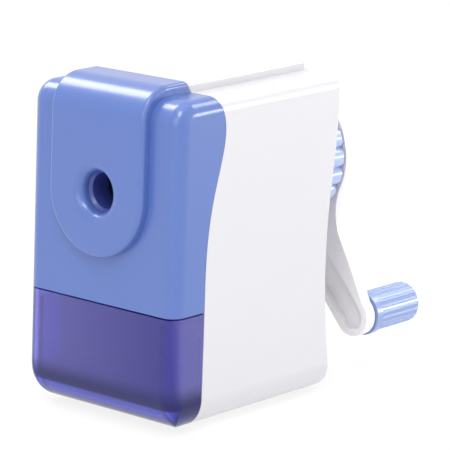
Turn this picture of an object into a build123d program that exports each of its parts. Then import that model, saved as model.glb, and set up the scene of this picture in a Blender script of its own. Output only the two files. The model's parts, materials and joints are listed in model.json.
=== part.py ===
from build123d import *
import math
import os

# Crank pencil sharpener, in millimetres.
# Frame: x to the right seen from the front, y towards the crank at the rear, z up.
# The origin is on the table under the middle of the body.

# ---- driving sizes: body ----
bodyWidth = 62.6
frontY = -40.0            # front face at leanFrom
leanFrom = 20.0
frontLean = 0.05          # the front face leans back by this much per mm of height
floorZ = 0.6              # underside of the shell
shoulderZ = 100.8         # flat top each side of the hump
rearBottomY = 32.2        # the hollowed rear face, from the floor up
rearWaistY = 29.2
rearWaistZ = 27.0
rearUpperY = 30.8
rearUpperZ = 60.0
rearCrownY = 34.9
rearCrownZ = 90.0
rearTopY = 34.3
wall = 2.0
noseRadius = 12.0         # front face into the floor
browRadius = 7.0          # front face into the top
sideRadius = 4.5
bottomRadius = 9.5        # sides into the floor
rearRadius = 1.0

# raised band: tongue on the front, hump on the top
bandHalf = 19.5
bandRaise = 3.5           # height of the hump above the flat top
tongueRaise = 3.2         # height of the tongue off the front face
bandEdge = 1.3
bandEndGap = 3.6          # the hump stops this far ahead of the rear crown

# seams
partingZ = 36.5           # top of the drawer front
partingGap = 0.5
seamGap = 0.16            # between the blue and the white shell
seamPoints = [
    (-28.4, -8),
    (-27.3, 12),
    (-26.1, 36),
    (-24.7, 57),
    (-21.8, 71),
    (-18.0, 83),
    (-16.7, 93),
    (-19.0, 100),
    (-23.0, 107),
    (-26.5, 112),
]
lipDepth = 2.6
lipThick = 1.0
lipFit = 0.1

# ---- driving sizes: pencil axis and cutter ----
axisZ = 70.7
pencilHole = 12.6
holeRim = 3.0
guideDepth = 4.0          # from the tongue's face to the pencil guide
guideBore = 11.0
guideWall = 1.1
ringTeeth = 32
pinionTeeth = 11
gearModule = 1.0
cutterRadius = 6.0
cutterLength = 25.0
cutterNeck = 1.8
cutterFlutes = 12
cutterTwist = 75.0
cutterTilt = 8.4
arborRadius = 1.5
shaftRadius = 3.5
shaftBore = 1.8
runFit = 0.08             # radial running clearance
gap = 0.3                 # clearance between moving pieces

# ---- driving sizes: crank, knob and dial ----
crankRadius = 56.6
crankRest = 24.0          # rest angle of the arm from straight down, towards +x
hubRadius = 21.8
tipRadius = 6.5
armWaist = 6.0            # right-hand half width of the arm below the hub
hubThick = 2.5
tipThick = 4.8
armWall = 2.4             # behind the dished front of the tip
armRim = 1.7              # round the dish
armSweep = 1.6            # the tip's front stands this much further back than the hub's
knobRadius = 6.5
knobLength = 21.6
knobRibs = 20
knobPinRadius = 2.0
dialRadius = 21.7
dialLobes = 20
dialLobeRadius = 3.4
stopTravel = 1.6

# ---- places along the axis ----
plateY = -29.0            # front of the cutter frame
plateThick = 3.0
rearBearingY = 28.0
rearBearingLength = 5.0
dialFrontY = 39.5
dialThick = 9.2
drawerDepth = 62.5
padWidth = 40.0           # rubber pad let into the underside
padLength = 46.0
padMidY = 3.0
padRecess = 1.0
padCorner = 6.0
padGroove = 1.0
screwSpanX = 22.0
screwLowZ = 46.0
screwHighZ = 90.0

farReach = 80.0           # past the body on every side
farHigh = 200.0
half = bodyWidth / 2
bandEndY = rearCrownY - bandEndGap
dialRearY = dialFrontY + dialThick
armY = dialRearY + gap


# ---- small helpers ----
def box(x0, x1, y0, y1, z0, z1):
    middle = Pos((x0 + x1) / 2, (y0 + y1) / 2, (z0 + z1) / 2)
    return middle * Box(x1 - x0, y1 - y0, z1 - z0)


def rod(radius, y0, y1, x=0.0, z=axisZ):
    return Pos(x, (y0 + y1) / 2, z) * Rot(90, 0, 0) * Cylinder(radius, y1 - y0)


def tube(outer, inner, y0, y1, x=0.0, z=axisZ):
    return rod(outer, y0, y1, x, z) - rod(inner, y0 - 1, y1 + 1, x, z)


def prism(face, y0, y1):
    # a sketch in x and z, made solid from y0 to y1
    return extrude(Plane.XZ.offset(-y0) * face, -(y1 - y0))


def sideways(face, reach):
    # a sketch in y and z, made solid to both sides
    return extrude(Plane.YZ.offset(-reach) * face, 2 * reach)


def frontAt(z):
    return frontY + frontLean * (z - leanFrom)


def roundBottom(inset):
    # the body's width in x and z with its rounded bottom corners, open at the top
    low = floorZ + inset
    tall = 2 * shoulderZ
    outline = Pos(0, low + tall / 2) * Rectangle(2 * (half - inset), tall)
    return fillet(outline.vertices().sort_by(Axis.Y)[:2], bottomRadius - inset)


# ---- outer form of the body, drawn in by an inset for the cavity ----
def frontProfile(inset):
    # floor, front and top in y and z, running on past the rear
    low = floorZ + inset
    high = shoulderZ - inset
    topFront = (frontAt(high) + inset, high)
    bottomFront = (frontAt(low) + inset, low)
    farY = rearCrownY + 25
    face = make_face(Polyline((farY, high), topFront, bottomFront, (farY, low), (farY, high)))
    for corner, radius in ((bottomFront, noseRadius), (topFront, browRadius)):
        nearest = face.vertices().sort_by_distance(Vector(*corner, 0))[0]
        face = fillet(nearest, radius - inset)
    return face


def aheadOfRear(inset):
    # everything in front of the hollowed rear face
    curve = Spline(
        (rearBottomY - inset, floorZ),
        (rearWaistY - inset, rearWaistZ),
        (rearUpperY - inset, rearUpperZ),
        (rearCrownY - inset, rearCrownZ),
        (rearTopY - inset, shoulderZ),
    )
    low = (rearBottomY - inset, floorZ)
    high = (rearTopY - inset, shoulderZ)
    border = Polyline(high, (high[0], 140), (-80, 140), (-80, -10), (low[0], -10), low)
    return sideways(make_face([curve, border]), 80)


def bandProfile(inset):
    # closed outline whose front and top stand proud of the body by the band's height
    proud = bandRaise - inset
    ahead = tongueRaise - inset
    lowZ = axisZ - bandHalf - 6
    frontLow = (frontAt(lowZ) - ahead, lowZ)
    frontTop = (frontAt(shoulderZ + proud) - ahead, shoulderZ + proud)
    rearTop = (bandEndY - inset, shoulderZ + proud)
    deepRear = (bandEndY - inset, shoulderZ - 8)
    deepFront = (frontAt(shoulderZ) + 14, shoulderZ - 8)
    face = make_face(
        Polyline(frontLow, frontTop, rearTop, deepRear, deepFront, (frontAt(lowZ) + 14, lowZ), frontLow)
    )
    top = [v for v in face.vertices() if (Vector(v) - Vector(*frontTop, 0)).length < 0.01]
    return fillet(top, browRadius + proud)


def bandForm(inset):
    reach = bandHalf - inset
    band = sideways(bandProfile(inset), reach)
    shape = Pos(0, axisZ) * Circle(reach)
    shape += Pos(0, axisZ + 30) * Rectangle(2 * reach, 60)
    band = band & prism(shape, -80, 80)
    proud = [e for e in band.edges() if isBandEdge(e, reach, inset)]
    return fillet(proud, max(bandEdge - inset * 0.6, 0.4))


def isBandEdge(edge, reach, inset):
    # the run of edges round the proud face of the band
    mid = edge @ 0.5
    proud = bandRaise - inset
    ahead = tongueRaise - inset
    onSide = abs(abs(mid.X) - reach) < 0.01 and mid.Z > axisZ
    onRound = mid.Z <= axisZ + 0.01
    outside = mid.Y < frontAt(mid.Z) - ahead + 0.4 or mid.Z > shoulderZ + proud - 0.01
    onBrow = mid.Z > shoulderZ + proud - browRadius - proud and mid.Y < frontAt(shoulderZ) + browRadius
    deep = mid.Y > frontAt(mid.Z) + 5 and mid.Z < shoulderZ + proud - 0.01
    return (onSide or onRound) and (outside or onBrow) and not deep


def bodyForm(inset=0.0):
    reach = half - inset
    form = sideways(frontProfile(inset), reach)
    far = form.faces().sort_by(Axis.Y)[-1].center().Y
    sides = [e for e in form.edges() if abs(abs((e @ 0.5).X) - reach) < 0.01 and (e @ 0.5).Y < far - 0.01]
    form = fillet(sides, sideRadius - inset) & aheadOfRear(inset)
    form = form & prism(roundBottom(inset), -farReach, farReach)
    if inset == 0:
        form = fillet(form.faces().sort_by(Axis.Y)[-1].edges(), rearRadius)
    return form + bandForm(inset)


# ---- regions either side of the S seam ----
def aheadOfSeam(shift=0.0):
    curve = Spline(*[(y + shift, z) for y, z in seamPoints])
    first = (seamPoints[0][0] + shift, seamPoints[0][1])
    last = (seamPoints[-1][0] + shift, seamPoints[-1][1])
    border = Polyline(last, (-70, last[1]), (-70, first[1]), first)
    return sideways(make_face([curve, border]), 60)


def slab(z0, z1):
    return box(-80, 80, -80, 120, z0, z1)


# ---- fixed pieces ----
plateBack = plateY + plateThick
bearingWall = 3.0
boreRadius = ringTeeth * gearModule / 2 - 1.2       # carrier disc, just inside the ring's tips
ringSeat = ringTeeth * gearModule / 2 + 3.4
collarRadius = ringSeat + 2.1
ringFrontY = plateY + 5.0
ringWidth = 5.0
postRadius = 3.5
pilotRadius = 1.15
screwRadius = 1.4
headRadius = 2.6
wellRadius = 3.3
wellSeatY = rearWaistY - 5.2
wellWall = 1.8
noseOuter = 11.5
noseInner = 9.5
noseEndY = dialRearY - 2.3
keySlotY = rearBearingY + rearBearingLength + 6.4
clipY = noseEndY - 1.7
drawerHalf = half - wall - 2.8
guideFlange = pencilHole / 2 + 1.6
frameScrewReach = collarRadius + headRadius + gap
frameScrewMost = half - wall - lipFit - lipThick - gap - headRadius     # clear of the housing's lip
frameScrewX = min(frameScrewReach * math.cos(math.radians(15)), frameScrewMost)
frameScrewRise = math.sqrt(frameScrewReach ** 2 - frameScrewX ** 2)
padRadius = 14.0
bearingOuter = shaftRadius + 2.0


def screwSpots():
    return [(sx * screwSpanX, z) for sx in (-1, 1) for z in (screwLowZ, screwHighZ)]


def crossSection(inset):
    # the body's outline in x and z, away from its rounded ends
    top = shoulderZ - inset
    flat = Pos(0, top / 2) * RectangleRounded(2 * (half - inset), top, max(sideRadius - inset, 0.5))
    high = top + bandRaise
    return flat + Pos(0, high / 2) * RectangleRounded(2 * (bandHalf - inset), high, 1.0)


def rearHousing(outer, inner):
    shell = (outer - inner) - aheadOfSeam(seamGap)
    # lip that the front cover slides over
    tunnel = prism(crossSection(wall + lipFit + lipThick), -60, 60)
    lip = prism(crossSection(wall + lipFit), -60, 60) & (aheadOfSeam(lipDepth) - aheadOfSeam(-lipDepth))
    root = outer & (aheadOfSeam(lipDepth) - aheadOfSeam(seamGap))
    shell = shell + ((lip + root) & slab(partingZ + 1.5, farHigh))
    shell = shell - (tunnel & (aheadOfSeam(lipDepth) & slab(partingZ, farHigh)))
    # dial boss with the bearing seat, and the nose that the dial turns on
    boss = rod(padRadius, rearBearingY + 2, dialFrontY - gap)
    boss = boss + rod(bearingOuter + bearingWall, rearBearingY, rearCrownY)
    boss = boss + rod(noseOuter, rearCrownY - 2, noseEndY)
    shell = shell + boss
    shell = shell - rod(bearingOuter, rearBearingY - 1, rearBearingY + rearBearingLength)
    shell = shell - rod(noseInner, rearBearingY + rearBearingLength, noseEndY + 1)
    for side in (-1, 1):
        x0, x1 = sorted((side * (noseInner - 0.9), side * (noseInner + 0.9)))
        shell = shell - box(x0, x1, keySlotY, noseEndY + 1, axisZ - 1.1, axisZ + 1.1)
    shell = shell - (rod(noseOuter + 2, clipY, clipY + 0.9) - rod(noseOuter - 0.6, clipY - 1, clipY + 2))
    # screw wells
    for x, z in screwSpots():
        shell = shell + (rod(wellRadius + wellWall, wellSeatY - 2, rearCrownY + 1, x, z) & outer)
        shell = shell - rod(wellRadius, wellSeatY, farReach, x, z)
        shell = shell - rod(screwRadius + 0.2, wellSeatY - 4, farReach, x, z)
    shell = shell - padBlank(0.05, floorZ - 1, floorZ + padRecess)
    # runners for the drawer
    for side in (-1, 1):
        for z in (10.0, 28.0):
            x0, x1 = sorted((side * (drawerHalf + gap), side * (half - wall + 0.5)))
            shell = shell + box(x0, x1, seamPoints[1][0] + 2, rearWaistY - wall - 1.5, z, z + 2.0)
    return shell


def frontCover(outer, inner):
    cover = (outer - inner) & aheadOfSeam(0)
    cover = cover & slab(partingZ + partingGap / 2, farHigh)
    tongueY = frontAt(axisZ) - tongueRaise
    # collar for the pencil guide
    cover = cover + (rod(guideFlange + 1.8, tongueY + 0.8, tongueY + guideDepth + 3.9) & outer)
    cover = cover - rod(guideFlange + 0.03, tongueY + guideDepth, tongueY + guideDepth + 5.4)
    # bosses that carry the cutter frame
    for x, z in frameScrewSpots():
        cover = cover + (rod(3.2, frontAt(z) + 0.6, plateY, x, z) & outer)
        cover = cover - rod(pilotRadius, frontAt(z) + wall + 0.6, plateY + 1, x, z)
    hole = rod(pencilHole / 2, -60, tongueY + guideDepth + 1)
    cover = cover - hole
    rings = cover.edges().filter_by(GeomType.CIRCLE) + cover.edges().filter_by(GeomType.ELLIPSE)
    return fillet([e for e in rings if isHoleRim(e @ 0.5, tongueY)], holeRim)


def isHoleRim(mid, tongueY):
    onHole = abs(math.hypot(mid.X, mid.Z - axisZ) - pencilHole / 2) < 0.2
    return onHole and abs(mid.Y - tongueY) < 1.2


def frameScrewSpots():
    return [(sx * frameScrewX, axisZ + sz * frameScrewRise) for sx in (-1, 1) for sz in (-1, 1)]


def pencilGuide():
    tongueY = frontAt(axisZ) - tongueRaise
    start = tongueY + guideDepth
    guide = rod(guideFlange, start, start + 1.6) + rod(guideBore / 2 + guideWall, start, plateY - 0.2)
    guide = guide - rod(guideBore / 2, start - 1, plateY + 1)
    rings = guide.edges().filter_by(GeomType.CIRCLE)
    mouth = [e for e in rings if abs((e @ 0).Y - start) < 0.01 and e.radius < guideBore / 2 + 0.1]
    return chamfer(mouth, (pencilHole - guideBore) / 2)


def cutterFrame():
    plateHigh = shoulderZ - wall - 2.0
    plateLow = screwLowZ - 6
    plateHalf = max(screwSpanX + 4.6, frameScrewX + 2.4)
    plate = Pos(0, (plateHigh + plateLow) / 2) * RectangleRounded(2 * plateHalf, plateHigh - plateLow, 4)
    frame = prism(plate, plateY, plateBack) + rod(collarRadius, plateY, ringFrontY + ringWidth + 1)
    for x, z in screwSpots():
        frame = frame + rod(postRadius, plateY, wellSeatY - 2 - 0.1, x, z)
        frame = frame - rod(pilotRadius, wellSeatY - 16, wellSeatY, x, z)
    for x, z in frameScrewSpots():
        frame = frame - rod(screwRadius + 0.2, plateY - 1, plateBack + 1, x, z)
    frame = frame - rod(boreRadius + runFit, plateY - 1, ringFrontY + 1)
    return frame - rod(ringSeat, ringFrontY, ringFrontY + ringWidth + 5)


def toothRing(teeth, pitch, inner, outer, atPitch, taper):
    # wedge-shaped teeth standing from the inner to the outer radius
    shapes = []
    for k in range(teeth):
        wedge = Polygon(
            (inner, -(atPitch / 2 + (pitch - inner) * taper)),
            (outer, -(atPitch / 2 - (outer - pitch) * taper)),
            (outer, atPitch / 2 - (outer - pitch) * taper),
            (inner, atPitch / 2 + (pitch - inner) * taper),
            align=None,
        )
        shapes.append(Rot(0, 0, 360 * k / teeth) * wedge)
    return shapes


toothAtPitch = 1.1
pinionPitch = pinionTeeth * gearModule / 2
ringPitch = ringTeeth * gearModule / 2
cutterOffset = ringPitch - pinionPitch
pinionMidY = ringFrontY + 2.8
pinionWidth = 3.6


def ringGear():
    ring = Circle(ringSeat) - Circle(ringPitch + 1.6)
    for tooth in toothRing(ringTeeth, ringPitch, ringPitch - 0.9, ringPitch + 2.0, toothAtPitch, -0.32):
        ring = ring + Rot(0, 0, 90) * tooth
    solid = extrude(Plane((0, ringFrontY, axisZ), x_dir=(1, 0, 0), z_dir=(0, -1, 0)) * ring, -ringWidth)
    return solid


def tiltFrame():
    # the slanted cutter axis: origin at the middle of the pinion, z along the axis towards the rear
    tilt = math.radians(cutterTilt)
    return Plane(
        origin=(0, pinionMidY, axisZ + cutterOffset),
        x_dir=(1, 0, 0),
        z_dir=(0, math.cos(tilt), -math.sin(tilt)),
    )


def cutterPinion():
    gear = Circle(pinionPitch - 1.4)
    root = pinionPitch - 1.7
    for tooth in toothRing(pinionTeeth, pinionPitch, root, pinionPitch + 0.85, toothAtPitch, 0.36):
        gear = gear + Rot(0, 0, 90) * tooth
    gear = gear - Circle(arborRadius + runFit)
    solid = extrude(gear, pinionWidth)
    return tiltFrame() * Pos(0, 0, -pinionWidth / 2) * solid


def helicalCutter():
    steps = 6
    length = cutterLength
    points = []
    for k in range(cutterFlutes):
        base = 360 * k / cutterFlutes
        points.append((cutterRadius, base))
        points.append((cutterRadius - 0.2, base + 9))
        points.append((cutterRadius - 1.1, base + 17))
    layers = []
    for s in range(steps + 1):
        turn = cutterTwist * s / steps
        corners = [
            (r * math.cos(math.radians(a + turn)), r * math.sin(math.radians(a + turn))) for r, a in points
        ]
        layers.append(Pos(0, 0, length * s / steps) * make_face(Polyline(*corners, corners[0])))
    body = loft(layers, ruled=True)
    body = body - Pos(0, 0, length / 2) * Cylinder(arborRadius + runFit, length + 2)
    neck = Pos(0, 0, -cutterNeck / 2) * Cylinder(pinionPitch - 1.4, cutterNeck)
    body = body + (neck - Pos(0, 0, -cutterNeck / 2) * Cylinder(arborRadius + runFit, cutterNeck + 2))
    return tiltFrame() * Pos(0, 0, pinionWidth / 2 + cutterNeck) * body


hubFrontY = 11.0
hubRadiusInner = 9.0
hubLength = 12.0
cageRadius = boreRadius - 0.3
cageInner = 8.8


def arborSpan():
    return -(pinionMidY - plateY) + 0.6, hubFrontY + 5.0 - pinionMidY


def cutterArbor():
    low, high = arborSpan()
    body = Pos(0, 0, (low + high) / 2) * Cylinder(arborRadius, high - low)
    return tiltFrame() * body


def cutterCarrier():
    discBack = ringFrontY - 0.4
    cage = rod(boreRadius, plateY + 0.2, discBack)
    cage = cage + rod(cageRadius, hubFrontY, hubFrontY + 4.0)
    cage = cage + rod(hubRadiusInner, hubFrontY, hubFrontY + hubLength)
    cage = cage + rod(shaftRadius + 1.8, hubFrontY, rearBearingY - 1.3)
    arm = Circle(cageRadius) - Circle(cageInner)
    for turn in (210, 330):
        wedge = Rot(0, 0, turn) * Polygon((0, 0), (30, -9), (30, 9), align=None)
        cage = cage + prism(Pos(0, axisZ) * (arm & wedge), plateY + 0.2, hubFrontY + 4.0)
    cage = cage - rod(guideBore / 2 + 0.3, plateY - 1, discBack + 1)
    cage = cage - rod(shaftBore, hubFrontY - 1, hubFrontY + 8)
    cage = cage - rod(shaftRadius, hubFrontY + 6, rearBearingY + 6)
    low, high = arborSpan()
    hole = Pos(0, 0, (low + high) / 2) * Cylinder(arborRadius, high - low)
    return cage - tiltFrame() * hole


def crankShaft():
    shaft = rod(shaftRadius, hubFrontY + 6, shaftEndY) - rod(shaftBore, hubFrontY, armY - 4)
    # flat for the arm
    shaft = shaft - restTurn(box(-5, 5, armY + 0.2, shaftEndY + 1, shaftRadius - flatDepth, 6))
    shaft = shaft - box(-5, 5, pinY - slotReach - stopTravel, pinY + slotReach, axisZ - 0.95, axisZ + 0.95)
    return shaft - rod(hubScrewRadius + 0.05, shaftEndY - 6, shaftEndY + 1)


shaftEndY = armY + 6.0
bossLength = 8.4           # hub boss of the arm
flatDepth = 0.8            # flat on the shaft's end
hubScrewRadius = 1.15
washerThick = 0.4
springSpace = 4.2          # length left for the spring when the stop is fully forward
collarFrontY = rearBearingY + rearBearingLength + springSpace + stopTravel
rodFrontY = 10.8
pinY = collarFrontY + 1.1
slotReach = 0.8 + gap


def rearBearing():
    bush = rod(bearingOuter, rearBearingY, rearBearingY + rearBearingLength)
    return bush - rod(shaftRadius + runFit, rearBearingY - 1, rearBearingY + rearBearingLength + 1)


def thrustWasher():
    return tube(shaftRadius + 2.8, shaftRadius + 0.15, rearBearingY - 1.05, rearBearingY - 0.25)


def stopRod():
    return rod(shaftBore - 0.15, rodFrontY, pinY + 2.0) - crossHole(0.8)


def crossHole(radius):
    return Pos(0, pinY, axisZ) * Rot(0, 90, 0) * Cylinder(radius, 14)


def stopCollar():
    return tube(shaftRadius + 2.6, shaftRadius + 0.12, collarFrontY, collarFrontY + 2.2) - crossHole(0.8)


def stopPin():
    return Pos(0, pinY, axisZ) * Rot(0, 90, 0) * Cylinder(0.8, 2 * (shaftRadius + 2.3))


def stopSleeve():
    front = collarFrontY + 2.2 + gap
    sleeve = rod(noseInner - 0.2, front, front + 5.4)
    sleeve = sleeve - rod(shaftRadius + 0.6, front - 1, front + 3)
    sleeve = sleeve - rod(threadRadius + 0.2, front + 1.5, front + 8)
    for side in (-1, 1):
        x0, x1 = sorted((side * (noseInner - 1.0), side * (noseInner + 0.7)))
        sleeve = sleeve + box(x0, x1, front + 0.6, front + 4.6, axisZ - 0.9, axisZ + 0.9)
    return sleeve


threadRadius = 6.6


def stopSpring():
    front = rearBearingY + rearBearingLength + 0.15
    length = collarFrontY - front - 0.15
    wire = 0.6
    turns = 3.5
    coil = Helix((length - wire) / turns, length - wire, shaftRadius + 1.7)
    section = Plane(coil @ 0, z_dir=coil % 0) * Circle(wire / 2)
    spring = sweep(section, path=coil)
    return Pos(0, front + wire / 2, axisZ) * Rot(-90, 0, 0) * spring


def pointDial():
    shape = Circle(dialRadius - dialLobeRadius + 1.3)
    for k in range(dialLobes):
        lobe = Pos(dialRadius - dialLobeRadius, 0) * Circle(dialLobeRadius)
        shape = shape + Rot(0, 0, 360 * k / dialLobes) * lobe
    blank = rod(dialRadius + 0.01, dialFrontY, dialRearY)
    blank = fillet(blank.edges().filter_by(GeomType.CIRCLE), 1.0)
    dial = prism(Pos(0, axisZ) * shape, dialFrontY, dialRearY) & blank
    web = dialRearY - 1.5
    dial = dial - rod(noseOuter + runFit, dialFrontY - 1, web) - rod(noseOuter + 1.5, clipY - 0.2, web)
    dial = dial + rod(threadRadius, collarFrontY + 2.2 + gap + 1.5 + gap, dialRearY)
    dial = dial - rod(shaftRadius + 0.6, dialFrontY - 10, dialRearY + 1)
    # lightening ring in the front face
    return dial - tube(dialRadius - 4.4, noseOuter + 3.2, dialFrontY - 1, dialRearY - 2.6)


def dialClip():
    ring = tube(noseOuter + 1.2, noseOuter - 0.55, clipY + 0.08, clipY + 0.82)
    return ring - box(-3.5, 3.5, clipY - 1, clipY + 2, axisZ + 5, axisZ + 20)


# ---- crank arm: drawn hanging straight down, then turned to its rest angle ----
def restTurn(piece):
    return Pos(0, 0, axisZ) * Rot(0, -crankRest, 0) * piece


def armOutline(grow=0.0):
    # in x and z about the hub: round hub, round tip, a straight left side and a waisted right side
    lean = math.asin((hubRadius - tipRadius) / crankRadius)
    hub = hubRadius + grow
    tip = tipRadius + grow
    waist = armWaist + grow
    reach = crankRadius
    leftHub = (-hub * math.cos(lean), -hub * math.sin(lean))
    leftTip = (-tip * math.cos(lean), -reach - tip * math.sin(lean))
    # concave arc between the hub circle and the vertical right side
    arcRadius = 22.0
    arcX = waist + arcRadius
    arcZ = -math.sqrt((hub + arcRadius) ** 2 - arcX**2)
    touch = hub / (hub + arcRadius)
    onHub = (arcX * touch, arcZ * touch)
    midAngle = math.radians(180) - (math.atan2(-arcZ, arcX)) / 2
    onArc = (arcX + arcRadius * math.cos(midAngle), arcZ + arcRadius * math.sin(midAngle))
    onSide = (waist, arcZ)
    onTip = (waist, -reach + math.sqrt(max(tip**2 - waist**2, 0)))
    edges = [
        Line(leftHub, leftTip),
        ThreePointArc(leftTip, (0.3 * tip, -reach - tip * math.sqrt(1 - 0.09)), onTip),
        Line(onTip, onSide),
        ThreePointArc(onSide, onArc, onHub),
        ThreePointArc(onHub, (0, hub), leftHub),
    ]
    return make_face(edges)


def armBand(front, back):
    # side view in y and z: the tip stands further back than the hub and is thicker
    start = -hubRadius * 0.62
    end = -crankRadius + tipRadius * 1.2
    low = -crankRadius - 20
    top = hubRadius + 10
    frontTip = front + armSweep
    backTip = back + armSweep + tipThick - hubThick
    edges = [
        Spline((front, start), (frontTip, end), tangents=((0, -1), (0, -1))),
        Spline((back, start), (backTip, end), tangents=((0, -1), (0, -1))),
        Polyline((front, start), (front, top), (back, top), (back, start)),
        Polyline((frontTip, end), (frontTip, low), (backTip, low), (backTip, end)),
    ]
    return sideways(make_face(edges), 60)


def crankArm():
    blank = prism(armOutline(), armY - 10, armY + 20)
    arm = blank & armBand(armY, armY + hubThick)
    back = [e for e in arm.edges() if isOutline(e, armY + hubThick)]
    arm = fillet(back, 1.1)
    # hollow front side
    pocketTip = tipRadius - armRim - 0.4
    lean = math.asin((hubRadius - tipRadius) / crankRadius)
    pocket = make_face(
        [
            Spline(
                (pocketTip, -crankRadius + 0.6),
                (2.4, -crankRadius + 8.5),
                (0.4, -crankRadius + 15.5),
                (-1.5, -hubRadius - 2.0),
            ),
            Line((-1.5, -hubRadius - 2.0), (-leftAt(-hubRadius - 2.0) + armRim, -hubRadius - 2.0)),
            Line(
                (-leftAt(-hubRadius - 2.0) + armRim, -hubRadius - 2.0),
                (-pocketTip * math.cos(lean), -crankRadius - pocketTip * math.sin(lean)),
            ),
            ThreePointArc(
                (-pocketTip * math.cos(lean), -crankRadius - pocketTip * math.sin(lean)),
                (0.25 * pocketTip, -crankRadius - pocketTip * math.sqrt(1 - 0.0625)),
                (pocketTip, -crankRadius + 0.6),
            ),
        ]
    )
    pocketSolid = prism(pocket, armY - 10, armY + 20) & armBand(armY - 5, armY + hubThick - armWall)
    arm = arm - pocketSolid
    # hub boss round the shaft, with a recess for the screw head
    arm = arm + rod(shaftRadius + 3.0, armY, armY + bossLength, z=0)
    bore = rod(shaftRadius, armY - 0.4, shaftEndY, z=0)
    bore = bore - box(-5, 5, armY + 0.2, shaftEndY + 1, shaftRadius - flatDepth, 6)
    bore = bore + rod(shaftRadius + 0.02, armY - 1.2, armY + 0.2, z=0)
    arm = arm - bore - rod(shaftRadius + 0.9, shaftEndY, armY + bossLength + 1, z=0)
    # blind pin hole at the tip, open towards the knob
    arm = arm - rod(knobPinRadius, pinSeatY, knobFrontY, z=-crankRadius)
    return restTurn(arm)


def leftAt(z):
    # distance of the arm's straight left side from the arm's middle line
    lean = math.asin((hubRadius - tipRadius) / crankRadius)
    return (hubRadius + z * math.sin(lean)) / math.cos(lean)


def isOutline(edge, back):
    mid = edge @ 0.5
    return mid.Y > back - 0.05 and edge.length > 1.0


def hubScrew():
    seat = shaftEndY + washerThick + 0.05
    head = rod(3.0, seat, seat + 1.5, z=0)
    shank = rod(hubScrewRadius, seat - 5.55, seat + 0.5, z=0)
    return restTurn(head + shank - crossSlot(seat + 1.5, 0))


def crossSlot(y, z):
    arm = box(-1.6, 1.6, y - 0.9, y + 1, z - 0.3, z + 0.3)
    return arm + box(-0.3, 0.3, y - 0.9, y + 1, z - 1.6, z + 1.6)


def hubWasher():
    return restTurn(tube(shaftRadius + 0.7, hubScrewRadius + 0.15, shaftEndY, shaftEndY + washerThick, z=0))


knobFrontY = armY + tipThick + armSweep + gap
knobBlindY = knobFrontY + knobLength - 2.2    # end of the pin's hole in the knob
ribRadius = 0.65
pinSeatY = armY + tipThick + armSweep - armWall + 0.6     # bottom of the pin's hole in the tip


def knobPin():
    return restTurn(rod(knobPinRadius, pinSeatY, knobBlindY - 0.4, z=-crankRadius))


def crankKnob():
    end = knobFrontY + knobLength
    knob = rod(knobRadius + 0.5, knobFrontY, knobFrontY + 2.6, z=0)
    knob = knob + rod(knobRadius - 0.35, knobFrontY, end, z=0)
    ribSpot = knobRadius - ribRadius
    for k in range(knobRibs):
        turn = 2 * math.pi * k / knobRibs
        x, z = ribSpot * math.cos(turn), ribSpot * math.sin(turn)
        knob = knob + rod(ribRadius, knobFrontY + 1, end, x, z)
    # tapered end
    taper = 1.6
    nose = Cone(knobRadius + 0.6, knobRadius - 1.6, 2.2, align=(Align.CENTER, Align.CENTER, Align.MIN))
    nose = Pos(0, end - taper, 0) * Rot(-90, 0, 0) * nose
    knob = knob & (rod(2 * knobRadius, knobFrontY - 1, end - taper, z=0) + nose)
    knob = knob - rod(knobPinRadius + runFit, knobFrontY - 1, knobBlindY, z=0)
    return restTurn(Pos(0, 0, -crankRadius) * knob)


# ---- drawer, pad and screws ----
def shavingsDrawer(outer, inner):
    cap = (outer - inner) & aheadOfSeam(-gap + seamGap)
    cap = cap & slab(0, partingZ - partingGap / 2)
    trayFloor = floorZ + wall + gap
    rear = frontY + drawerDepth
    tray = box(-drawerHalf, drawerHalf, frontY - 2, rear, trayFloor, partingZ - 2.4)
    tray = fillet(tray.edges().filter_by(Axis.Z).sort_by(Axis.Y)[-2:], 3.0)
    skin = 1.6
    roomHalf = drawerHalf - skin
    room = box(-roomHalf, roomHalf, frontY - 1, rear - skin, trayFloor + skin, partingZ + 9)
    room = fillet(room.edges().filter_by(Axis.Z).sort_by(Axis.Y)[-2:], 3.0 - skin + 0.4)
    room = room & prism(roundBottom(wall + gap + skin), -farReach, farReach)
    tray = (tray & prism(roundBottom(wall + gap), -farReach, farReach)) - room
    tray = tray & bodyForm(0.6)
    # the bin's side walls meet the front wall, and a floor strip joins the cap's floor
    stripBack = seamPoints[0][0] - 1.0
    strip = (outer & box(-drawerHalf, drawerHalf, frontY - 2, stripBack, 0, trayFloor + 0.2)) - tray
    return cap + tray + strip


def padBlank(grow, z0, z1):
    outline = RectangleRounded(padWidth + 2 * grow, padLength + 2 * grow, padCorner + grow)
    return extrude(Plane.XY.offset(z0) * Pos(0, padMidY) * outline, z1 - z0)


def rubberPad():
    pad = padBlank(0, 0, floorZ + padRecess)
    pad = chamfer(pad.faces().sort_by(Axis.Z)[0].edges(), 0.3)
    # grip grooves across the underside
    for k in range(-3, 3):
        y = padMidY + (k + 0.5) * padLength / 7
        pad = pad - box(-padWidth / 2 + 5, padWidth / 2 - 5, y - padGroove / 2, y + padGroove / 2, -1, 0.5)
    return pad


def screw(x, z, tip, seat):
    body = rod(pilotRadius - 0.05, tip, seat, x, z) + rod(headRadius, seat, seat + 1.9, x, z)
    return body - Pos(x, 0, 0) * crossSlot(seat + 1.9, z)


def housingScrews():
    return Compound(children=[screw(x, z, wellSeatY - 14, wellSeatY) for x, z in screwSpots()])


def frameScrews():
    return Compound(children=[screw(x, z, plateY - 3.2, plateBack) for x, z in frameScrewSpots()])


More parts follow.
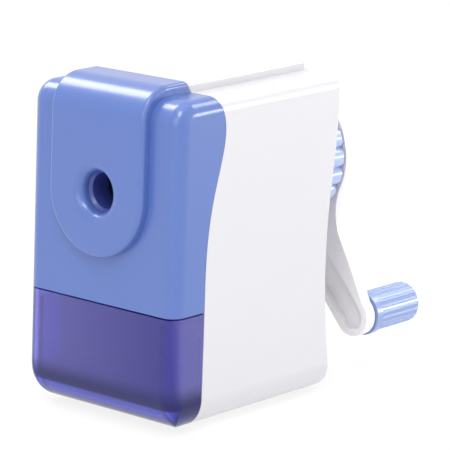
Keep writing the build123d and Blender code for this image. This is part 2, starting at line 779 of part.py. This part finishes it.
def main():
    os.makedirs("parts", exist_ok=True)
    outer = bodyForm()
    inner = bodyForm(wall)
    pieces = {
        "rear_housing": rearHousing(outer, inner),
        "front_cover": frontCover(outer, inner),
        "pencil_guide": pencilGuide(),
        "cutter_frame": cutterFrame(),
        "ring_gear": ringGear(),
        "rear_bearing": rearBearing(),
        "housing_screws": housingScrews(),
        "frame_screws": frameScrews(),
        "rubber_pad": rubberPad(),
        "dial_clip": dialClip(),
        "cutter_carrier": cutterCarrier(),
        "crank_shaft": crankShaft(),
        "cutter_arbor": cutterArbor(),
        "thrust_washer": thrustWasher(),
        "crank_arm": crankArm(),
        "hub_screw": hubScrew(),
        "hub_washer": hubWasher(),
        "knob_pin": knobPin(),
        "helical_cutter": helicalCutter(),
        "cutter_pinion": cutterPinion(),
        "crank_knob": crankKnob(),
        "shavings_drawer": shavingsDrawer(outer, inner),
        "point_dial": pointDial(),
        "stop_sleeve": stopSleeve(),
        "stop_rod": stopRod(),
        "stop_collar": stopCollar(),
        "stop_pin": stopPin(),
        "stop_spring": stopSpring(),
    }
    for name, piece in pieces.items():
        export_step(piece, f"parts/{name}.step")


main()
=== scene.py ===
import bpy
import json
import math
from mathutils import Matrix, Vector

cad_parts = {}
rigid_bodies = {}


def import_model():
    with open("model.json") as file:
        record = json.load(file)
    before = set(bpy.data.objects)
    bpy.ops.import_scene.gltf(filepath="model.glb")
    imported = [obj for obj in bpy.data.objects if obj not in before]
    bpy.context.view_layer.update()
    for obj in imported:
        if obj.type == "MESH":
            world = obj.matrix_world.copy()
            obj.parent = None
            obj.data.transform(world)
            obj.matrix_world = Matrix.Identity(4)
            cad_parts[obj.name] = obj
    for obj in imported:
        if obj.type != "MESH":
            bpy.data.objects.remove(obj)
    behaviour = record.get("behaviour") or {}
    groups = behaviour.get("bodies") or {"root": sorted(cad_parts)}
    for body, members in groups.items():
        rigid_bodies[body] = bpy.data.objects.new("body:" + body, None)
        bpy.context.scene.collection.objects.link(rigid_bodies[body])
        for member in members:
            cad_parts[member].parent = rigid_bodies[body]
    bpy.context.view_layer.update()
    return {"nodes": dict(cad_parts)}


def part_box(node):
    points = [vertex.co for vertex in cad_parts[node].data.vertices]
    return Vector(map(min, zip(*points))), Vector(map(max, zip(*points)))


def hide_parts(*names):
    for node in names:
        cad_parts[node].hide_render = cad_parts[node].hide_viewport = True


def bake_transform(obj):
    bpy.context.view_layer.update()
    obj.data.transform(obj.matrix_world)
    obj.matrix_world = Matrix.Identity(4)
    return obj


# Crank pencil sharpener. Metres, +Z up, -Y out of the pencil hole, +Y towards the crank.

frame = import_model()
nodes = frame["nodes"]
mm = 0.001
scene = bpy.context.scene
print("frame loaded:", len(nodes), "nodes")


white = (1, 1, 1, 1)
noiseMiddle = 0.5  # what a noise averages to


def srgb(red, green, blue):
    # a written screen colour as the linear one that shaders use
    def linear(value):
        share = value / 255
        return share / 12.92 if share <= 0.04045 else ((share + 0.055) / 1.055) ** 2.4

    return (linear(red), linear(green), linear(blue), 1.0)


# a socket that adds, subtracts, multiplies and divides as a number does
class Wire:
    def __init__(self, shader, socket):
        self.shader = shader
        self.socket = socket

    def maths(self, operation, first, second):
        return self.shader.node("ShaderNodeMath", {"operation": operation}, {0: first, 1: second})

    def __add__(self, other):
        return self.maths("ADD", self, other)

    def __radd__(self, other):
        return self.maths("ADD", other, self)

    def __sub__(self, other):
        return self.maths("SUBTRACT", self, other)

    def __rsub__(self, other):
        return self.maths("SUBTRACT", other, self)

    def __mul__(self, other):
        return self.maths("MULTIPLY", self, other)

    def __rmul__(self, other):
        return self.maths("MULTIPLY", other, self)

    def __truediv__(self, other):
        return self.maths("DIVIDE", self, other)

    def __rtruediv__(self, other):
        return self.maths("DIVIDE", other, self)

    def clamp(self):
        return self.shader.node("ShaderNodeClamp", {}, {"Value": self})


# the nodes of a new material or world, each made by the node method
class Shader:
    def __init__(self, owner):
        owner.use_nodes = True
        self.owner = owner
        self.tree = owner.node_tree
        self.tree.nodes.clear()

    def node(self, kind, settings, inputs, output=0):
        made = self.tree.nodes.new(kind)
        for name, value in settings.items():
            setattr(made, name, value)
        for key, value in inputs.items():
            if isinstance(value, Wire):
                self.tree.links.new(value.socket, made.inputs[key])
            else:
                made.inputs[key].default_value = value
        return Wire(self, made.outputs[output]) if len(made.outputs) else made

    def place(self, turn=(0, 0, 0), stretch=(1, 1, 1)):
        raw = self.node("ShaderNodeTexCoord", {}, {}, "Object")
        inputs = {"Vector": raw, "Rotation": turn, "Scale": stretch}
        return self.node("ShaderNodeMapping", {}, inputs)

    def noise(self, scale, detail, rough, at=None):
        inputs = {"Vector": at or self.place(), "Scale": scale, "Detail": detail, "Roughness": rough}
        return self.node("ShaderNodeTexNoise", {}, inputs, "Fac")

    def blend(self, mask, first, second):
        # the mix node's colours are its inputs 6 and 7 and its output 2
        settings = {"data_type": "RGBA", "clamp_factor": True}
        return self.node("ShaderNodeMix", settings, {"Factor": mask, 6: first, 7: second}, 2)

    def smooth(self, value, middle, width):
        # 0 below the middle and 1 above it, with a soft step between
        settings = {"interpolation_type": "SMOOTHSTEP"}
        ends = {"Value": value, "From Min": middle - width, "From Max": middle + width}
        return self.node("ShaderNodeMapRange", settings, ends)

    def bump(self, height, strength, distance):
        inputs = {"Height": height, "Strength": strength, "Distance": distance}
        return self.node("ShaderNodeBump", {}, inputs)

    def finish(self, inputs):
        surface = self.node("ShaderNodeBsdfPrincipled", {}, inputs)
        self.node("ShaderNodeOutputMaterial", {}, {"Surface": surface})
        return self.owner


# hairline scuffs on the plastics, and how deep each bump is
scuff = {"turn": (0.5, 0.3, 0.9), "stretch": (9, 1, 1), "rarity": 0.66, "edge": 9}
bumpHeight = {"peel": 0.1 * mm, "flow": 0.3 * mm, "line": 0.05 * mm, "grain": 0.1 * mm}


def mouldedPlastic(name, look):
    # moulded plastic: faint flow marks, fine orange peel and a few hairline scuffs
    shader = Shader(bpy.data.materials.new(name))
    flow = shader.noise(look["flowScale"], detail=3.0, rough=0.55)
    grain = shader.noise(look["peelScale"], detail=2.0, rough=0.6)
    turned = shader.place(turn=scuff["turn"], stretch=scuff["stretch"])
    scuffs = shader.noise(look["scuffScale"], detail=2.0, rough=0.7, at=turned)
    scuffed = ((scuffs - scuff["rarity"]) * scuff["edge"]).clamp()
    colour = shader.blend(flow, look["colour"], look["shade"])
    rough = look["rough"] + (flow - noiseMiddle) * look["roughSpread"] + scuffed * look["scuffRough"]
    peel = shader.bump(grain, look["peel"], bumpHeight["peel"])
    return shader.finish(
        {
            "Base Color": colour,
            "Roughness": rough,
            "Normal": peel,
            "IOR": look["ior"],
            "Subsurface Weight": look["depth"],
            "Subsurface Radius": look["depthRadius"],
            "Subsurface Scale": look["depthScale"],
            "Coat Weight": look["coat"],
            "Coat Roughness": look["coatRough"],
        }
    )


bluePlastic = {
    "colour": srgb(81, 107, 173),
    "shade": srgb(78, 104, 170),
    "flowScale": 45,
    "peelScale": 900,
    "scuffScale": 160,
    "rough": 0.34,
    "roughSpread": 0.03,
    "scuffRough": 0.04,
    "peel": 0.05,
    "ior": 1.47,
    "depth": 0.12,
    "depthRadius": (0.5, 0.7, 1.0),
    "depthScale": 0.0012,
    "coat": 0.6,
    "coatRough": 0.16,
}
knobPlastic = {**bluePlastic, "colour": srgb(134, 154, 200), "shade": srgb(128, 148, 196)}
# the pencil guide's blue is painted darker, as painted shade for the dark inside of the pencil hole
guidePaintedShadePlastic = {**bluePlastic, "colour": srgb(58, 70, 146), "shade": srgb(54, 66, 142)}
dialPlastic = {**bluePlastic, "colour": srgb(172, 188, 226), "shade": srgb(166, 183, 222)}
whitePlastic = {
    "colour": srgb(203, 202, 206),
    "shade": srgb(201, 200, 204),
    "flowScale": 38,
    "peelScale": 900,
    "scuffScale": 150,
    "rough": 0.28,
    "roughSpread": 0.0,
    "scuffRough": 0.01,
    "peel": 0.05,
    "ior": 1.5,
    "depth": 0.12,
    "depthRadius": (1.0, 0.95, 0.9),
    "depthScale": 0.0015,
    "coat": 0.5,
    "coatRough": 0.1,
}
# the arm's white is painted lighter than the shell's white, as painted light on the arm
armPaintedLightPlastic = {**whitePlastic, "colour": srgb(226, 223, 225), "shade": srgb(223, 221, 223)}
darkPlastic = {
    "colour": srgb(38, 38, 42),
    "shade": srgb(31, 31, 35),
    "flowScale": 60,
    "peelScale": 1500,
    "scuffScale": 200,
    "rough": 0.5,
    "roughSpread": 0.12,
    "scuffRough": 0.15,
    "peel": 0.25,
    "ior": 1.48,
    "depth": 0.0,
    "depthRadius": (1.0, 1.0, 1.0),
    "depthScale": 0.001,
    "coat": 0.0,
    "coatRough": 0.3,
}

tintedClear = {
    # painted light and shade: the front is painted lit at its left and painted shade at its right
    "lit": srgb(152, 149, 234),
    "dim": srgb(74, 68, 190),
    "streak": srgb(100, 94, 212),
    # a bright belt of painted highlight low on the front, and the dark colour of the painted shade below it
    "strip": srgb(104, 112, 255),
    "deep": srgb(14, 16, 140),
    "flowScale": 30,
    "flowStretch": (1, 1, 4),
    "hazeScale": 500,
    "streaks": 0.4,
    "rough": 0.045,
    "hazeSpread": 0.015,
    "flowDepth": 0.05,
    "clear": 0.74,
    "ior": 1.49,
    "faceDepth": 3.35 * mm,  # back from the front's foremost point
    "faceSoft": 2.0 * mm,
    "stripBase": 3.0 * mm,  # these heights start at the drawer's lowest point
    "stripTop": 7.6 * mm,
    "stripSoft": 0.5 * mm,
    "bandTop": 11.9 * mm,
    "bandSoft": 3.5 * mm,
}


def clearDrawer(name, look):
    # clear tinted plastic with faint flow lines and a little haze. Its front has painted light and shade:
    # painted lit at the left and painted shade at the right, and low down a dark belt of painted shade with a
    # bright belt of painted highlight in it
    shader = Shader(bpy.data.materials.new(name))
    low, high = (Vector(corner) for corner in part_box("shavings_drawer"))
    drawn = shader.place(stretch=look["flowStretch"])
    flow = shader.noise(look["flowScale"], detail=3.0, rough=0.5, at=drawn)
    haze = shader.noise(look["hazeScale"], detail=2.0, rough=0.6)
    raw = shader.node("ShaderNodeTexCoord", {}, {}, "Object")
    split = {"Vector": raw}
    across, along, height = (shader.node("ShaderNodeSeparateXYZ", {}, split, axis) for axis in "XYZ")
    # painted light and shade across the front: from the lit colour at the left to the dim colour at the right
    paintedShadeAcross = ((across - low.x) / (high.x - low.x)).clamp()
    near = 1.0 - shader.smooth(along, low.y + look["faceDepth"], look["faceSoft"])
    body = shader.blend(paintedShadeAcross * near, look["lit"], look["dim"])
    body = shader.blend(flow * look["streaks"], body, look["streak"])
    # low on the front a dark belt of painted shade, with a bright belt of painted highlight in it
    paintedShadeBand = 1.0 - shader.smooth(height, low.z + look["bandTop"], look["bandSoft"])
    overBase = shader.smooth(height, low.z + look["stripBase"], look["stripSoft"])
    underTop = 1.0 - shader.smooth(height, low.z + look["stripTop"], look["stripSoft"])
    toned = shader.blend(paintedShadeBand, body, look["deep"])
    toned = shader.blend(overBase * underTop * near, toned, look["strip"])
    return shader.finish(
        {
            "Base Color": toned,
            "Roughness": look["rough"] + (haze - noiseMiddle) * look["hazeSpread"],
            "Transmission Weight": look["clear"],
            "IOR": look["ior"],
            "Normal": shader.bump(flow, look["flowDepth"], bumpHeight["flow"]),
        }
    )


def metal(name, look):
    # brushed, ground or cast metal: fine lines or grain, and a worn tone
    shader = Shader(bpy.data.materials.new(name))
    brushed = shader.place(stretch=look["lineStretch"])
    lines = shader.noise(look["lineScale"], detail=4.0, rough=0.7, at=brushed)
    wear = shader.noise(look["wearScale"], detail=3.0, rough=0.6)
    colour = shader.blend(wear, look["colour"], look["shade"])
    return shader.finish(
        {
            "Base Color": colour,
            "Metallic": 1.0,
            "Roughness": look["rough"] + (lines - noiseMiddle) * look["roughSpread"],
            "Normal": shader.bump(lines, look["lineDepth"], bumpHeight["line"]),
        }
    )


platedSteel = {
    "colour": srgb(196, 197, 200),
    "shade": srgb(178, 179, 184),
    "lineScale": 400,
    "lineStretch": (1, 8, 1),
    "rough": 0.28,
    "roughSpread": 0.2,
    "lineDepth": 0.2,
    "wearScale": 220,
}
toolSteel = {
    "colour": srgb(150, 152, 158),
    "shade": srgb(122, 124, 130),
    "lineScale": 700,
    "lineStretch": (6, 1, 6),
    "rough": 0.3,
    "roughSpread": 0.25,
    "lineDepth": 0.35,
    "wearScale": 220,
}
castZinc = {
    "colour": srgb(170, 171, 174),
    "shade": srgb(146, 147, 152),
    "lineScale": 260,
    "lineStretch": (1, 1, 1),
    "rough": 0.46,
    "roughSpread": 0.2,
    "lineDepth": 0.5,
    "wearScale": 220,
}
sinteredBronze = {
    "colour": srgb(160, 122, 78),
    "shade": srgb(128, 95, 60),
    "lineScale": 1200,
    "lineStretch": (1, 1, 1),
    "rough": 0.48,
    "roughSpread": 0.2,
    "lineDepth": 0.6,
    "wearScale": 220,
}


rubber = {
    "colour": srgb(40, 40, 43),
    "dust": srgb(58, 58, 62),
    "dustScale": 90,
    "grainScale": 2200,
    "rough": 0.78,
    "roughSpread": 0.2,
    "grainDepth": 0.5,
}


def padRubber(name, look):
    # dull rubber with a fine grain and some dust
    shader = Shader(bpy.data.materials.new(name))
    dust = shader.noise(look["dustScale"], detail=4.0, rough=0.65)
    grain = shader.noise(look["grainScale"], detail=2.0, rough=0.6)
    return shader.finish(
        {
            "Base Color": shader.blend(dust, look["colour"], look["dust"]),
            "Roughness": look["rough"] + (dust - noiseMiddle) * look["roughSpread"],
            "Normal": shader.bump(grain, look["grainDepth"], bumpHeight["grain"]),
        }
    )


finishes = {
    "blue": mouldedPlastic("bluePlastic", bluePlastic),
    "knob": mouldedPlastic("knobPlastic", knobPlastic),
    "dial": mouldedPlastic("dialPlastic", dialPlastic),
    "guide": mouldedPlastic("guidePaintedShadePlastic", guidePaintedShadePlastic),
    "arm": mouldedPlastic("armPaintedLightPlastic", armPaintedLightPlastic),
    "white": mouldedPlastic("whitePlastic", whitePlastic),
    "dark": mouldedPlastic("darkPlastic", darkPlastic),
    "drawer": clearDrawer("clearDrawer", tintedClear),
    "steel": metal("platedSteel", platedSteel),
    "tool": metal("toolSteel", toolSteel),
    "zinc": metal("castZinc", castZinc),
    "bronze": metal("sinteredBronze", sinteredBronze),
    "rubber": padRubber("padRubber", rubber),
}
nodeFinish = {
    "front_cover": "blue",
    "crank_knob": "knob",
    "point_dial": "dial",
    "rear_housing": "white",
    "crank_arm": "arm",
    "pencil_guide": "guide",
    "shavings_drawer": "drawer",
    "cutter_frame": "dark",
    "ring_gear": "dark",
    "stop_sleeve": "dark",
    "rubber_pad": "rubber",
    "helical_cutter": "tool",
    "cutter_pinion": "tool",
    "cutter_carrier": "zinc",
    "rear_bearing": "bronze",
}
for name, obj in nodes.items():
    finish = finishes[nodeFinish.get(name, "steel")]
    for slot in obj.material_slots:
        slot.material = finish
print("finishes set")


# a geometry node tree with named inputs for its sizes
class GeometryTree:
    def __init__(self, name, sizes):
        self.tree = bpy.data.node_groups.new(name, "GeometryNodeTree")
        self.ids = {}
        for label, kind in sizes.items():
            made = self.tree.interface.new_socket(name=label, in_out="INPUT", socket_type="NodeSocket" + kind)
            self.ids[label] = made.identifier
        self.tree.interface.new_socket(name="Geometry", in_out="OUTPUT", socket_type="NodeSocketGeometry")
        self.entry = self.tree.nodes.new("NodeGroupInput")

    def given(self, label):
        return self.entry.outputs[label]

    def node(self, kind, settings, inputs, output=0):
        made = self.tree.nodes.new(kind)
        for name, value in settings.items():
            setattr(made, name, value)
        for key, value in inputs.items():
            if isinstance(value, bpy.types.NodeSocket):
                self.tree.links.new(value, made.inputs[key])
            else:
                made.inputs[key].default_value = value
        return made.outputs[output]

    def finish(self, mesh, material):
        real = self.node("GeometryNodeRealizeInstances", {}, {"Geometry": mesh})
        painted = self.node("GeometryNodeSetMaterial", {}, {"Geometry": real, "Material": material})
        self.tree.links.new(painted, self.tree.nodes.new("NodeGroupOutput").inputs["Geometry"])

    def grow(self, name, sizes):
        # the tree's result as a plain mesh
        source = bpy.data.objects.new(name + "Source", bpy.data.meshes.new(name + "Source"))
        scene.collection.objects.link(source)
        modifier = source.modifiers.new("grow", "NODES")
        modifier.node_group = self.tree
        for label, value in sizes.items():
            modifier[self.ids[label]] = value
        shown = source.evaluated_get(bpy.context.evaluated_depsgraph_get())
        obj = bpy.data.objects.new(name, bpy.data.meshes.new_from_object(shown))
        source.modifiers.remove(modifier)
        bpy.data.objects.remove(source)
        scene.collection.objects.link(obj)
        return obj


# stop spring, held at one end and pushed by the sleeve's travel at the other
spring = {"wire": 0.6 * mm, "turns": 3.5, "steps": 40, "sides": 12}


def springTree():
    kinds = {"Place": "Vector", "Turns": "Float", "Steps": "Int", "Radius": "Float"}
    kinds.update({"Height": "Float", "Wire": "Float", "Sides": "Int"})
    grower = GeometryTree("stopSpring", kinds)
    coil = {
        "Resolution": grower.given("Steps"),
        "Rotations": grower.given("Turns"),
        "Start Radius": grower.given("Radius"),
        "End Radius": grower.given("Radius"),
        "Height": grower.given("Height"),
    }
    helix = grower.node("GeometryNodeCurveSpiral", {}, coil)
    turned = {"Geometry": helix, "Translation": grower.given("Place"), "Rotation": (-math.pi / 2, 0, 0)}
    placed = grower.node("GeometryNodeTransform", {}, turned)
    section = {"Resolution": grower.given("Sides"), "Radius": grower.given("Wire")}
    circle = grower.node("GeometryNodeCurvePrimitiveCircle", {"mode": "RADIUS"}, section)
    sweep = {"Curve": placed, "Profile Curve": circle, "Fill Caps": True}
    grower.finish(grower.node("GeometryNodeCurveToMesh", {}, sweep), finishes["steel"])
    return grower


def makeSpring():
    low, high = (Vector(corner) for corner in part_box("stop_spring"))
    middle = (low + high) / 2
    radius = spring["wire"] / 2
    sizes = {
        "Place": (middle.x, low.y + radius, middle.z),
        "Turns": spring["turns"],
        "Steps": spring["steps"],
        "Radius": (high.x - low.x) / 2 - radius,
        "Height": high.y - low.y - 2 * radius,
        "Wire": radius,
        "Sides": spring["sides"],
    }
    obj = springTree().grow("stopSpring", sizes)
    for polygon in obj.data.polygons:
        polygon.use_smooth = True
    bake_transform(obj)
    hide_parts("stop_spring")
    print("spring made:", len(obj.data.polygons), "faces")


makeSpring()


studio = {
    "floorSize": 6.0,
    "floorColour": srgb(246, 246, 247),
    "floorMark": srgb(243, 243, 245),
    "markScale": 3,
    "floorRough": 0.8,
    "ownWhite": 0.85,
    "worldLevel": 0.62,
    "aim": (0, 0, 0.05),
}


def seenDirectly(shader):
    # 1 for the camera, and for what a mirror or clear plastic shows
    kinds = ("Is Camera Ray", "Is Glossy Ray", "Is Transmission Ray")
    rays = [shader.node("ShaderNodeLightPath", {}, {}, kind) for kind in kinds]
    return (rays[0] + rays[1] + rays[2]).clamp()


def paleMaterial(name):
    # a matt floor that keeps the shadow and is mostly white to look at
    shader = Shader(bpy.data.materials.new(name))
    marks = shader.noise(studio["markScale"], detail=2.0, rough=0.5)
    tone = shader.blend(marks, studio["floorColour"], studio["floorMark"])
    shown = shader.node("ShaderNodeEmission", {}, {"Color": white, "Strength": 1.0})
    lit = shader.node("ShaderNodeBsdfPrincipled", {}, {"Base Color": tone, "Roughness": studio["floorRough"]})
    share = seenDirectly(shader) * studio["ownWhite"]
    mixed = shader.node("ShaderNodeMixShader", {}, {0: share, 1: lit, 2: shown})
    shader.node("ShaderNodeOutputMaterial", {}, {"Surface": mixed})
    return shader.owner


def makeFloor():
    mesh = bpy.data.meshes.new("floor")
    floor = bpy.data.objects.new("floor", mesh)
    scene.collection.objects.link(floor)
    reach = studio["floorSize"] / 2
    corners = [(-reach, -reach, 0), (reach, -reach, 0), (reach, reach, 0), (-reach, reach, 0)]
    mesh.from_pydata(corners, [], [(0, 1, 2, 3)])
    mesh.materials.append(paleMaterial("paleFloor"))


def areaLamp(name, place, size, power):
    lamp = bpy.data.lights.new(name, "AREA")
    lamp.shape = "RECTANGLE"
    lamp.size, lamp.size_y = size
    lamp.energy = power
    obj = bpy.data.objects.new(name, lamp)
    scene.collection.objects.link(obj)
    obj.location = place
    obj.rotation_euler = (Vector(studio["aim"]) - Vector(place)).to_track_quat("-Z", "Y").to_euler()


def makeWorld():
    world = bpy.data.worlds.new("studioWorld")
    shader = Shader(world)
    level = studio["worldLevel"] + (1 - studio["worldLevel"]) * seenDirectly(shader)
    background = shader.node("ShaderNodeBackground", {}, {"Color": white, "Strength": level})
    shader.node("ShaderNodeOutputWorld", {}, {"Surface": background})
    scene.world = world


# metres and watts
softboxes = {
    "top": {"place": (0.1, -0.05, 0.95), "size": (0.9, 0.9), "power": 2.6},
    "right": {"place": (1.0, 0.1, 0.5), "size": (0.8, 0.9), "power": 0.7},
    "rear": {"place": (0.8, 0.85, 0.13), "size": (0.35, 0.2), "power": 3.2},
    "front": {"place": (0.35, -1.15, 0.5), "size": (0.7, 0.7), "power": 3.0},
    "corner": {"place": (0.36, -0.53, 0.9), "size": (0.35, 0.45), "power": 4.3},
    "brow": {"place": (-0.7, -0.05, 0.8), "size": (0.35, 0.5), "power": 4.7},
    "shoulder": {"place": (0.25, 0.8, 0.75), "size": (0.35, 0.35), "power": 2.4},
}


def makeLights():
    for name, box in softboxes.items():
        areaLamp(name + "Softbox", box["place"], box["size"], box["power"])


# metres, degrees and millimetres
view = {
    "place": (0.635741, -0.664888, 0.273088),
    "azimuth": 43.016,
    "elevation": 13.402,
    "lens": 245.045,
    "sensor": 36,
    "nearest": 0.01,
}


def makeCamera():
    data = bpy.data.cameras.new("camera")
    data.lens = view["lens"]
    data.sensor_width = view["sensor"]
    data.clip_start = view["nearest"]
    camera = bpy.data.objects.new("camera", data)
    scene.collection.objects.link(camera)
    azimuth = math.radians(view["azimuth"])
    elevation = math.radians(view["elevation"])
    camera.location = view["place"]
    camera.rotation_euler = (math.pi / 2 - elevation, 0, azimuth)
    scene.camera = camera


makeFloor()
makeWorld()
makeLights()
makeCamera()
scene.view_settings.view_transform = "Standard"
print("studio ready")
